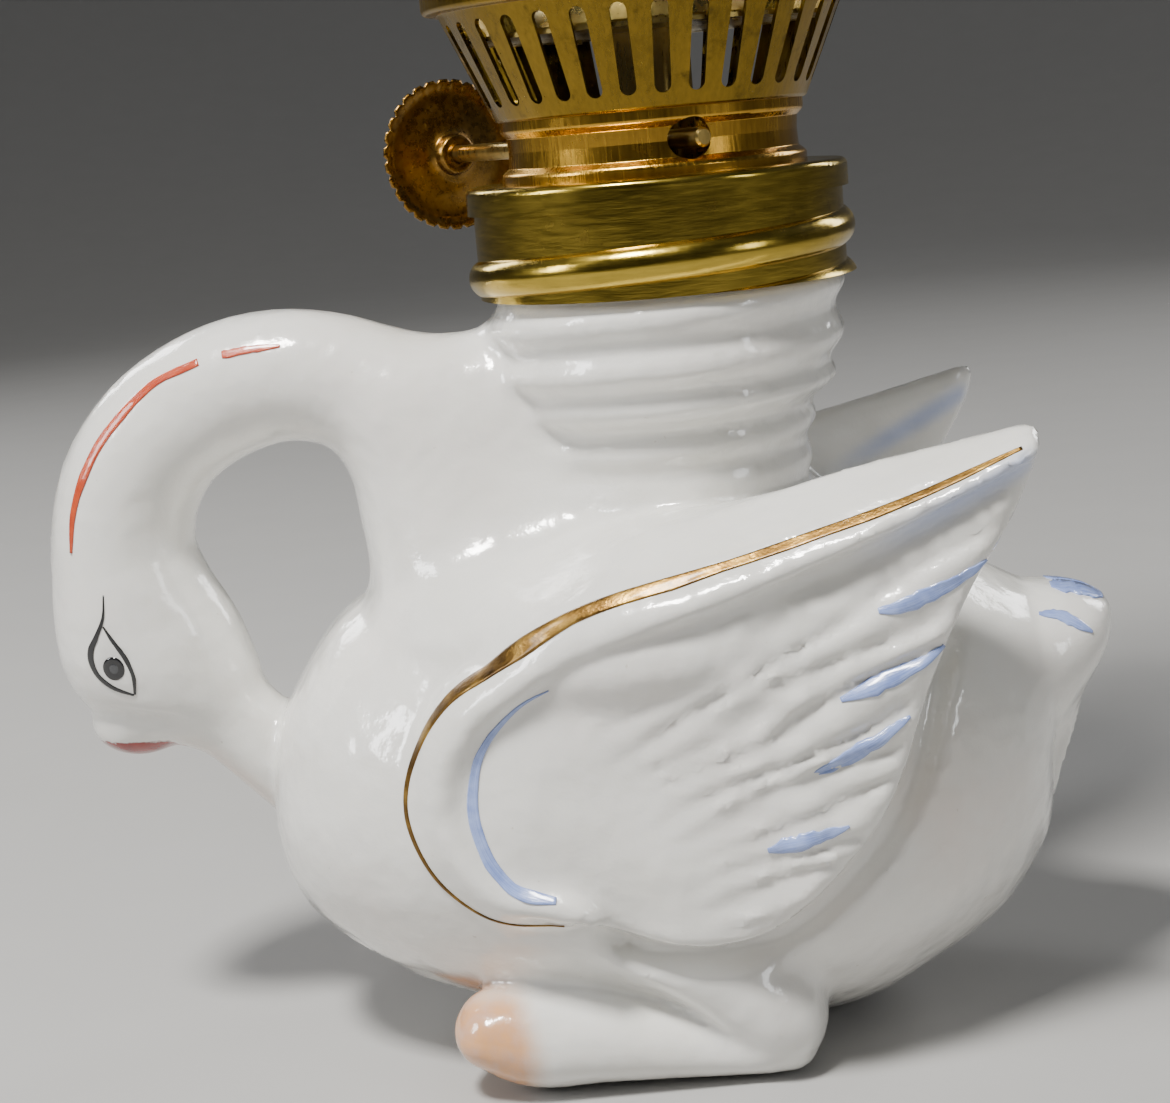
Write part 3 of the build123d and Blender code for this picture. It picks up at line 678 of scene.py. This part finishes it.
# ================================================================ paint, a thin fired layer on the glaze
def on_side(line, side):
    """Where rows of (x, z) meet the porcelain, seen from the side y < 0 or y > 0."""
    line = np.asarray(line, float)
    x, z = line[:, 0], line[:, 1]
    far = np.full_like(x, 33.0)
    for _ in range(70):
        far = np.maximum(far - 0.6 * np.clip(porcelain(x, side * far, z), -0.5, None), 0)
    return settle(np.stack([x, side * far, z], axis=1), 4, reach=1.2)


def unit(rows):
    return rows / np.maximum(np.linalg.norm(rows, axis=1, keepdims=True), 1e-9)


def paint_sheet(name, grid, look, lift):
    """A closed thin layer over a grid of surface points, thickest in the middle of its columns."""
    rows, columns = grid.shape[:2]
    flat = grid.reshape(-1, 3)
    out = unit(field_slope(flat))
    across = np.linspace(-1, 1, columns)
    swell = np.tile(0.7 + 0.3 * (1 - across**4), rows)[:, None]
    verts = np.vstack([flat + out * lift * swell, flat - out * 0.08])
    index = np.arange(rows * columns).reshape(rows, columns)
    top = [index[:-1, :-1], index[1:, :-1], index[1:, 1:], index[:-1, 1:]]
    top = np.stack([t.ravel() for t in top], axis=1)
    low = top[:, ::-1] + rows * columns
    border = np.concatenate([index[0, :], index[1:, -1], index[-1, -2::-1], index[-2:0:-1, 0]])
    after = np.roll(border, -1)
    rim = np.stack([border, border + rows * columns, after + rows * columns, after], axis=1)
    made = mesh_object(name, verts, np.vstack([top, low, rim[:, ::-1]]))
    along = np.repeat(np.linspace(0, 1, rows), columns)
    store(made, "along", np.tile(along, 2))
    store(made, "across", np.tile(np.tile(across, rows), 2))
    return finish_paint(made, look)


def finish_paint(made, look):
    made.data.materials.append(look)
    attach(made, "font")
    return made


def stroke(name, line, widths, side, look, on_rim=False, lift=0.13, uneven=0.08, seed=0):
    """One brush stroke along (x, z) points; widths are its half widths at even steps along it."""
    columns = 9
    middle = smooth_curve(line, 40 + 3 * int(np.linalg.norm(np.diff(line, axis=0), axis=1).sum()))
    t = np.linspace(0, 1, len(middle))
    half = np.interp(t, np.linspace(0, 1, len(widths)), widths)
    rng = np.random.default_rng(seed)
    near, far = (1 + uneven * np.interp(t, np.linspace(0, 1, n), rng.normal(0, 1, n)) for n in (14, 20))
    across = np.linspace(-1, 1, columns)
    reach = (half * near)[:, None] * np.minimum(across, 0) + (half * far)[:, None] * np.maximum(across, 0)
    if on_rim:
        start = np.stack([middle[:, 0], side * (wing_face(middle[:, 0]) - 0.9), middle[:, 1]], axis=1)
        middle = settle(start, 5, reach=1.0)
        sideways = unit(np.cross(unit(np.gradient(middle, axis=0)), unit(field_slope(middle))))
        grid = middle[:, None] + sideways[:, None] * reach[:, :, None]
        grid = settle(grid.reshape(-1, 3), 3).reshape(grid.shape)
    else:
        run = unit(np.gradient(middle, axis=0))
        sideways = np.stack([-run[:, 1], run[:, 0]], axis=1)
        flat = middle[:, None] + sideways[:, None] * reach[:, :, None]
        grid = on_side(flat.reshape(-1, 2), side).reshape(len(middle), columns, 3)
    return paint_sheet(name, grid, look, lift)


def disc(name, centre, radii, side, look, lift):
    """A round or oval dab of paint."""
    turns, rings = 40, 7
    turn = np.linspace(0, 2 * pi, turns, endpoint=False)
    spokes = np.stack([radii[0] * np.cos(turn), radii[1] * np.sin(turn)], axis=1)
    share = np.linspace(0, 1, rings)[1:]
    flat = np.vstack([np.zeros((1, 2)), (share[:, None, None] * spokes).reshape(-1, 2)]) + centre
    flat = on_side(flat, side)
    count = len(flat)
    outs = unit(field_slope(flat))
    dome = np.concatenate([[1.0], np.repeat(1 - 0.7 * share**3, turns)])[:, None]
    ring = np.arange(turns)
    after = (ring + 1) % turns
    even = ring[::2]
    top = []
    for k in range(rings - 2):
        near, far = 1 + k * turns, 1 + (k + 1) * turns
        top.append(np.stack([near + ring, far + ring, far + after, near + after], axis=1))
    top = np.vstack(top + [np.stack([0 * even, 1 + even, 2 + even, 1 + (even + 2) % turns], axis=1)])
    last = 1 + (rings - 2) * turns
    rim = np.stack([last + ring, last + ring + count, last + after + count, last + after], axis=1)
    verts = np.vstack([flat + outs * lift * dome, flat - outs * 0.08])
    made = mesh_object(name, verts, np.vstack([top, top[:, ::-1] + count, rim]))
    correct_facing(made)
    store(made, "along", np.zeros(2 * count))
    store(made, "across", np.zeros(2 * count))
    return finish_paint(made, look)


def correct_facing(made):
    """Turns a closed mesh's faces outwards."""
    work = bmesh.new()
    work.from_mesh(made.data)
    bmesh.ops.recalc_face_normals(work, faces=work.faces)
    work.to_mesh(made.data)
    work.free()


# Lines of (x, z) on the swan's side, and half widths at even steps along them.
GOLD_LINE = [(-13.6, 17.4), (-18.6, 17.6), (-21.8, 19.1), (-25.0, 22.6), (-27.0, 27.4), (-27.0, 31.6),
             (-25.5, 35.8), (-22.5, 39.7), (-18.5, 42.4), (-12.5, 45.3), (-5.8, 47.8), (5.9, 51.1),
             (19.0, 54.9), (30.2, 58.5)]
GOLD_WIDTHS = [0.10, 0.14, 0.18, 0.25, 0.34, 0.55, 0.85, 0.92, 0.70, 0.62, 0.60, 0.60, 0.55, 0.5, 0.4, 0.2]
CRESCENT = [(-13.8, 20.8), (-16.5, 21.3), (-18.3, 22.4), (-19.8, 24.5), (-20.7, 27.4), (-20.8, 30.2),
            (-20.3, 32.8), (-19.3, 35.0), (-17.6, 37.1), (-15.4, 39.0), (-12.8, 40.3)]
CRESCENT_WIDTHS = [0.25, 0.5, 0.55, 0.56, 0.56, 0.52, 0.48, 0.4, 0.3, 0.22, 0.15, 0.06]
FEATHERS = [
    [(16.8, 45.5), (19.5, 46.0), (22.0, 46.9), (24.4, 47.9), (26.6, 49.1)],
    [(13.0, 37.8), (15.0, 38.5), (17.6, 39.5), (20.0, 40.5), (22.4, 41.8)],
    [(10.2, 31.2), (12.2, 31.9), (14.4, 33.1), (16.8, 34.4), (19.0, 35.8)],
    [(5.6, 24.5), (7.6, 24.9), (9.6, 25.4), (11.4, 25.8), (13.0, 26.3)],
]
FEATHER_WIDTHS = [0.2, 0.6, 0.74, 0.7, 0.55, 0.4, 0.12]
TAIL_STROKES = [[(33.6, 39.4), (36.0, 38.9), (38.6, 37.2)], [(35.6, 41.0), (38.6, 40.5), (40.8, 39.4)]]
TAIL_WIDTHS = [0.1, 0.36, 0.46, 0.4, 0.12]
RED_NECK = [(-60.0, 52.6), (-59.4, 56.2), (-58.0, 59.6), (-56.2, 62.6), (-53.8, 65.2), (-51.6, 67.2),
            (-49.3, 68.8), (-45.3, 70.2)]
RED_NECK_WIDTHS = [0.12, 0.34, 0.44, 0.44, 0.4, 0.34, 0.3]
RED_NAPE = [(-42.9, 70.7), (-40.0, 71.0), (-37.2, 71.1)]
RED_NAPE_WIDTHS = [0.34, 0.36, 0.3, 0.12]
EYE_FRONT = [(-57.0, 48.4), (-57.3, 46.2), (-58.2, 44.4), (-59.0, 43.0), (-59.2, 41.8), (-58.8, 40.4),
             (-57.8, 39.3), (-56.6, 38.6), (-55.3, 38.1)]
EYE_FRONT_WIDTHS = [0.06, 0.1, 0.16, 0.22, 0.3, 0.3, 0.26, 0.24, 0.2, 0.1]
EYE_BACK = [(-57.4, 45.3), (-56.5, 43.6), (-55.7, 42.3), (-55.2, 41.0), (-55.0, 39.8), (-55.2, 38.2)]
EYE_BACK_WIDTHS = [0.08, 0.18, 0.22, 0.22, 0.2, 0.12]


def paint_swan(gold, blue, red, black, grey):
    for side, hand in ((-1, "right"), (1, "left")):
        name = f"gold_rim_{hand}"
        stroke(name, GOLD_LINE, GOLD_WIDTHS, side, gold, on_rim=True, uneven=0.16, seed=3 + side)
        stroke(f"blue_crescent_{hand}", CRESCENT, CRESCENT_WIDTHS, side, blue, seed=7 + side)
        for i, line in enumerate(FEATHERS):
            name = f"blue_feather_{hand}_{i}"
            stroke(name, line, FEATHER_WIDTHS, side, blue, uneven=0.12, seed=20 + 3 * i + side)
        for i, line in enumerate(TAIL_STROKES):
            name = f"blue_tail_{hand}_{i}"
            stroke(name, line, TAIL_WIDTHS, side, blue, uneven=0.12, seed=40 + 3 * i + side)
        stroke(f"red_neck_{hand}", RED_NECK, RED_NECK_WIDTHS, side, red, uneven=0.1, seed=50 + side)
        stroke(f"red_nape_{hand}", RED_NAPE, RED_NAPE_WIDTHS, side, red, seed=60 + side)
        stroke(f"eye_front_line_{hand}", EYE_FRONT, EYE_FRONT_WIDTHS, side, black, lift=0.1)
        stroke(f"eye_back_line_{hand}", EYE_BACK, EYE_BACK_WIDTHS, side, black, lift=0.1)
        disc(f"pupil_{hand}", (-56.9, 41.0), (1.12, 1.2), side, black, lift=0.11)
        disc(f"pupil_middle_{hand}", (-56.85, 41.0), (0.6, 0.68), side, grey, lift=0.15)


# ================================================================ looks
def porcelain_look():
    """Milky glaze over a warm white body, a little mottled, with soft airbrushed tints and grey shade painted
    in the eye.
    """
    look = Look("glazed_porcelain", (0.80, 0.79, 0.75), 0.2, Specular_IOR_Level=0.45,
                Coat_Weight=0.8, Coat_Roughness=0.045, Coat_IOR=1.5,
                Subsurface_Weight=0.05, Subsurface_Scale=0.0015)
    look.shader.inputs["Subsurface Radius"].default_value = (1.0, 0.75, 0.55)
    cloud = look.noise(0.05, detail=4)
    creams = [(0.32, (0.78, 0.765, 0.715)), (0.5, (0.81, 0.80, 0.76)), (0.7, (0.79, 0.765, 0.725))]
    white = look.steps(creams, cloud)
    specks = look.span(look.noise(1.4, detail=1), 0.79, 0.84)
    white = look.mix(look.sums("MULTIPLY", specks, 0.35), white, (0.46, 0.40, 0.33))
    blush = look.sums("MULTIPLY", look.stored("blush"), look.span(look.noise(0.16), 0.35, 0.7, 0.1, 0.32))
    white = look.mix(blush, white, (0.80, 0.60, 0.50))
    dab = look.noise(0.7, detail=5)
    peach = look.sums("MULTIPLY", look.stored("peach"), look.span(dab, 0.25, 0.75, 0.72, 1.0), clamp=True)
    tint = look.steps([(0.35, (0.60, 0.25, 0.09)), (0.65, (0.72, 0.37, 0.16))], dab)
    white = look.mix(peach, white, tint)
    white = look.mix(look.sums("MULTIPLY", look.stored("tip_blue"), 0.7), white, (0.36, 0.45, 0.74))
    # Painted shade: grey mixed into the glaze round the eye, in place of the eye's shading.
    grey = look.sums("MULTIPLY", look.stored("eye_painted_shade"), 0.45)
    white = look.mix(grey, white, (0.46, 0.47, 0.47))
    edge = look.sums("ADD", look.stored("dark_red"), look.span(dab, 0.3, 0.7, -0.12, 0.12))
    red = look.steps([(0.3, (0.20, 0.012, 0.012)), (0.7, (0.33, 0.03, 0.02))], dab)
    look.put("Base Color", look.mix(look.span(edge, 0.42, 0.6), white, red))
    look.put("Roughness", look.span(look.noise(0.12, detail=3), 0.3, 0.7, 0.14, 0.24))
    ripple = look.shares(look.noise(0.16, detail=2), 1.0, look.noise(2.2, detail=2), 0.04)
    look.relief(ripple, 0.0005, coat=True)
    return look.material


def gold_look():
    """Burnished gilding, thin and brown in places."""
    look = Look("gilding", (0.55, 0.34, 0.10), 0.3, Metallic=1.0, Coat_Weight=0.25, Coat_Roughness=0.1)
    worn = look.noise(0.35, detail=5, roughness=0.55)
    look.colour([(0.3, (0.10, 0.052, 0.014)), (0.5, (0.21, 0.115, 0.028)), (0.72, (0.46, 0.28, 0.07))], worn)
    look.put("Roughness", look.span(look.noise(0.9, detail=4), 0.3, 0.7, 0.30, 0.50))
    look.relief(look.noise(3.5, detail=3), 0.00005)
    return look.material


def enamel_look(name, light, dark):
    """Painted enamel with the streaks of a brush."""
    streak, gloss = 7.0, 0.12
    look = Look(name, light, gloss, Coat_Weight=0.7, Coat_Roughness=0.06)
    across = look.sums("MULTIPLY", look.stored("across"), streak)
    along = look.sums("MULTIPLY", look.stored("along"), 2.5)
    brushed = look.node("ShaderNodeCombineXYZ", {"X": across, "Y": along}).outputs["Vector"]
    streaks = look.node("ShaderNodeTexNoise", {"Vector": brushed, "Scale": 1.0, "Detail": 3.0}).outputs["Fac"]
    look.colour([(0.38, dark), (0.62, light)], look.shares(streaks, 0.6, look.noise(0.9), 0.4))
    look.put("Roughness", look.span(look.noise(1.5), 0.3, 0.7, gloss * 0.8, gloss * 1.6))
    look.relief(streaks, 0.00004)
    return look.material


def brass_look(name, bright, dull, brown, stretch, brushed, rough, depth=0.00003):
    """Thin lacquered brass: brushed one way, toned unevenly, with tarnish in patches and shallow dents."""
    look = Look(name, bright, 0.25, Metallic=1.0, Coat_Weight=0.12, Coat_Roughness=0.1, Anisotropic=0.2)
    look.shader.inputs["Coat Tint"].default_value = (1.0, 0.90, 0.62, 1)
    lines = look.noise(brushed, detail=4, stretch=stretch, roughness=0.6)
    tone = look.noise(0.11, detail=3, distortion=0.3)
    base = look.steps([(0.34, dull), (0.64, bright)], look.shares(lines, 0.45, tone, 0.55))
    tarnish = look.span(look.noise(0.33, detail=6, roughness=0.7), 0.56, 0.74, 0.0, 0.75)
    spots = look.span(look.noise(1.9, detail=2), 0.72, 0.8, 0.0, 0.6)
    look.put("Base Color", look.mix(look.sums("MAXIMUM", tarnish, spots), base, brown))
    shine = look.span(look.shares(lines, 0.5, tone, 0.5), 0.3, 0.7, *rough)
    look.put("Roughness", look.sums("ADD", shine, look.sums("MULTIPLY", tarnish, 0.16)))
    look.relief(look.shares(lines, 0.5, look.noise(0.09, detail=1), 6.0), depth)
    return look.material


def glass_look():
    """Blown clear glass, with faint waves, seeds and a faint uneven smear."""
    look = Look("blown_glass", (0.97, 0.99, 0.98), 0.02, Transmission_Weight=1.0, IOR=1.47)
    smear = look.noise(0.05, detail=5, stretch=(1, 1, 0.3))
    look.colour([(0.3, (0.94, 0.97, 0.955)), (0.7, (0.985, 0.995, 0.99))], smear)
    look.put("Roughness", look.span(smear, 0.45, 0.75, 0.008, 0.06))
    seeds = look.span(look.noise(0.7, detail=1), 0.76, 0.82)
    look.relief(look.shares(look.noise(0.06, detail=1, stretch=(1, 1, 0.4)), 1.0, seeds, 0.15), 0.0006)
    return look.material


def cotton_look():
    """Unbleached cotton yarn."""
    look = Look("cotton_yarn", (0.72, 0.66, 0.54), 0.9, Sheen_Weight=0.4, Sheen_Roughness=0.5)
    fibre = look.noise(3.0, detail=4, stretch=(1, 1, 0.25))
    look.colour([(0.3, (0.58, 0.51, 0.38)), (0.55, (0.72, 0.67, 0.55)), (0.75, (0.80, 0.76, 0.66))], fibre)
    look.put("Roughness", look.span(fibre, 0.3, 0.7, 0.8, 0.96))
    look.relief(fibre, 0.00008)
    return look.material


def cork_look():
    """Pressed cork granules."""
    look = Look("pressed_cork", (0.45, 0.27, 0.14), 0.85)
    cell = look.node("ShaderNodeTexVoronoi", {"Vector": look.place((1000, 1000, 1000)), "Scale": 0.9})
    grain = look.shares(look.noise(1.2, detail=5), 0.6, cell.outputs["Distance"], 0.5)
    look.colour([(0.3, (0.20, 0.10, 0.05)), (0.5, (0.42, 0.25, 0.12)), (0.75, (0.60, 0.41, 0.23))], grain)
    look.put("Roughness", look.span(grain, 0.3, 0.8, 0.92, 0.75))
    look.relief(grain, 0.0002)
    return look.material


# ================================================================ thumbwheel and wick
def middle_of(node):
    low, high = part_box(node)
    return np.array((low + high) / 2) / MM


def ring_mesh(name, centre, axis, profile, turns, notch):
    """A turned piece: a closed profile of (radius, distance along the axis) points, in millimetres."""
    axis = np.asarray(axis, float) / np.linalg.norm(axis)
    up = np.array([0, 0, 1.0])
    side = np.cross(up, axis)
    turn = np.linspace(0, 2 * pi, turns, endpoint=False)
    verts = []
    for r, a in profile:
        radius = notch(r, turn)
        spokes = np.outer(radius * np.cos(turn), side) + np.outer(radius * np.sin(turn), up)
        verts.append(centre + a * axis + spokes)
    ring = np.arange(turns)
    after = (ring + 1) % turns
    faces = []
    for k in range(len(profile)):
        a, b = k * turns, (k + 1) % len(profile) * turns
        faces.append(np.stack([a + ring, b + ring, b + after, a + after], axis=1))
    made = mesh_object(name, np.vstack(verts), np.vstack(faces))
    correct_facing(made)
    return made


def make_thumbwheel(look):
    """A dished pressing with a nibbled edge, which takes the place of the CAD wheel."""
    centre, bush = middle_of("thumbwheel_washer"), middle_of("spindle_bush")
    axis = (centre - bush) * (1, 1, 0)

    def nibbled(r, turn):
        share = np.clip((r - 7.0) / 0.9, 0, 1)
        wave = np.cos(30 * turn)
        return r - share * 0.42 * np.clip(wave, -0.2, 1) ** 2 + 0.03 * share * np.sin(7 * turn + 1)

    outer = [(0.98, -0.32), (2.7, -0.32), (3.4, -0.22), (4.4, 0.10), (5.5, 0.42), (6.4, 0.55), (7.0, 0.48),
             (7.4, 0.30), (7.75, 0.06), (7.98, -0.14)]
    inner = [(7.98, -0.42), (7.62, -0.44), (7.1, -0.12), (6.5, 0.05), (5.5, -0.08), (4.4, -0.40),
             (3.4, -0.72), (2.3, -0.82), (2.15, -1.1), (2.05, -2.1), (1.85, -2.25), (0.98, -2.25)]
    made = ring_mesh("thumbwheel_pressing", centre, axis, outer + inner, 240, nibbled)
    made.data.materials.append(look)
    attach(made, "winder")
    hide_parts("thumbwheel")


def make_wick(look):
    """A flat plain-woven wick: the yarns go over and under each other in its mesh."""
    low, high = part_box("wick")
    middle = middle_of("wick") * (1, 1, 0)
    bottom, top = low[2] / MM, high[2] / MM
    wide = np.array([cos(WICK_ANGLE), sin(WICK_ANGLE), 0])
    thick = np.array([-wide[1], wide[0], 0])
    half_width, yarns, weft_step, free_below = 5.2, 13, 2.2, 66
    across, up = 53, 361
    gu, gv = (g.ravel() for g in np.meshgrid(np.linspace(-1, 1, across), np.linspace(0, 1, up)))
    height = bottom + gv * (top - bottom)
    warp = np.abs(np.cos(pi * yarns / 2 * (gu + 1)))
    lay = np.sin(2 * pi * height / weft_step) * np.sign(np.sin(pi * yarns * (gu + 1) / 2 + 0.01))
    half = 0.62 * np.sqrt(np.clip(1 - np.abs(gu) ** 8, 0, 1)) + 0.02
    half = half + (0.14 * warp + 0.05 * lay) * np.clip(1 - gu**6, 0, 1)
    # Below the tube it hangs in a slight wave.
    sway = np.where(height < free_below, 0.35 * np.sin((free_below - height) / 17), 0)
    sheet = middle + half_width * gu[:, None] * wide + np.outer(height, [0, 0, 1])
    front, rear = (sheet + (sway + part * half)[:, None] * thick for part in (1, -1))
    index = np.arange(across * up).reshape(up, across)
    face = [index[:-1, :-1], index[:-1, 1:], index[1:, 1:], index[1:, :-1]]
    face = np.stack(face, axis=-1).reshape(-1, 4)
    border = np.concatenate([index[0, :], index[1:, -1], index[-1, -2::-1], index[-2:0:-1, 0]])
    after = np.roll(border, -1)
    rim = np.stack([border, border + across * up, after + across * up, after], axis=1)
    faces = np.vstack([face, face[:, ::-1] + across * up, rim])
    made = mesh_object("woven_wick", np.vstack([front, rear]), faces)
    correct_facing(made)
    made.data.materials.append(look)
    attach(made, "wick")
    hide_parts("wick")


# ================================================================ everything together
def dress(nodes, look):
    """Gives CAD nodes their material."""
    for name in nodes:
        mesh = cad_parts[name].data
        mesh.materials.clear()
        mesh.materials.append(look)


INNER_PIECES = ["drum_floor", "vent_tube", "wick_tube", "spindle_cradle", "wick_spindle", "spur_wheel_inner",
                "spur_wheel_outer", "thumbwheel_washer"]

make_camera()
make_stage()
swan = make_swan()
swan.data.materials.append(porcelain_look())
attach(swan, "font")
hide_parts("swan_font")
paint_swan(
    gold=gold_look(),
    blue=enamel_look("blue_enamel", (0.36, 0.46, 0.80), (0.20, 0.28, 0.62)),
    red=enamel_look("red_enamel", (0.62, 0.10, 0.035), (0.42, 0.045, 0.02)),
    black=enamel_look("black_enamel", (0.012, 0.012, 0.014), (0.004, 0.004, 0.005)),
    grey=enamel_look("grey_enamel", (0.055, 0.058, 0.062), (0.03, 0.03, 0.034)),
)
dress(["neck_gasket"], cork_look())
cap_brass = brass_look("cap_brass", bright=(0.56, 0.40, 0.065), dull=(0.34, 0.245, 0.035),
                       brown=(0.15, 0.095, 0.02), stretch=(0.12, 0.12, 1.0), brushed=2.4, rough=(0.14, 0.26))
dress(["screw_cap"], cap_brass)
drum_brass = brass_look("drum_brass", bright=(0.66, 0.38, 0.05), dull=(0.42, 0.225, 0.028),
                        brown=(0.16, 0.07, 0.012), stretch=(1.0, 1.0, 0.05), brushed=3.2, rough=(0.14, 0.30),
                        depth=0.00005)
dress(["burner_drum", "spindle_bush"], drum_brass)
basket_brass = brass_look("basket_brass", bright=(0.26, 0.165, 0.018), dull=(0.14, 0.088, 0.010),
                          brown=(0.06, 0.04, 0.006), stretch=(1.0, 1.0, 0.06), brushed=2.2,
                          rough=(0.20, 0.42))
dress(["chimney_basket"], basket_brass)
dome_brass = brass_look("dome_brass", bright=(0.55, 0.41, 0.13), dull=(0.36, 0.26, 0.08),
                        brown=(0.12, 0.075, 0.03), stretch=(1, 1, 1), brushed=1.2, rough=(0.22, 0.42))
dress(["diffuser_plate", "flame_dome", "dome_rivets"], dome_brass)
inner_brass = brass_look("inner_brass", bright=(0.60, 0.43, 0.14), dull=(0.42, 0.30, 0.09),
                         brown=(0.15, 0.10, 0.04), stretch=(1, 1, 0.3), brushed=1.8, rough=(0.24, 0.42))
dress(INNER_PIECES, inner_brass)
wheel_brass = brass_look("wheel_brass", bright=(0.36, 0.20, 0.04), dull=(0.17, 0.088, 0.018),
                         brown=(0.07, 0.034, 0.008), stretch=(1, 1, 1), brushed=1.5, rough=(0.20, 0.40))
make_thumbwheel(wheel_brass)
dress(["glass_chimney"], glass_look())
make_wick(cotton_look())
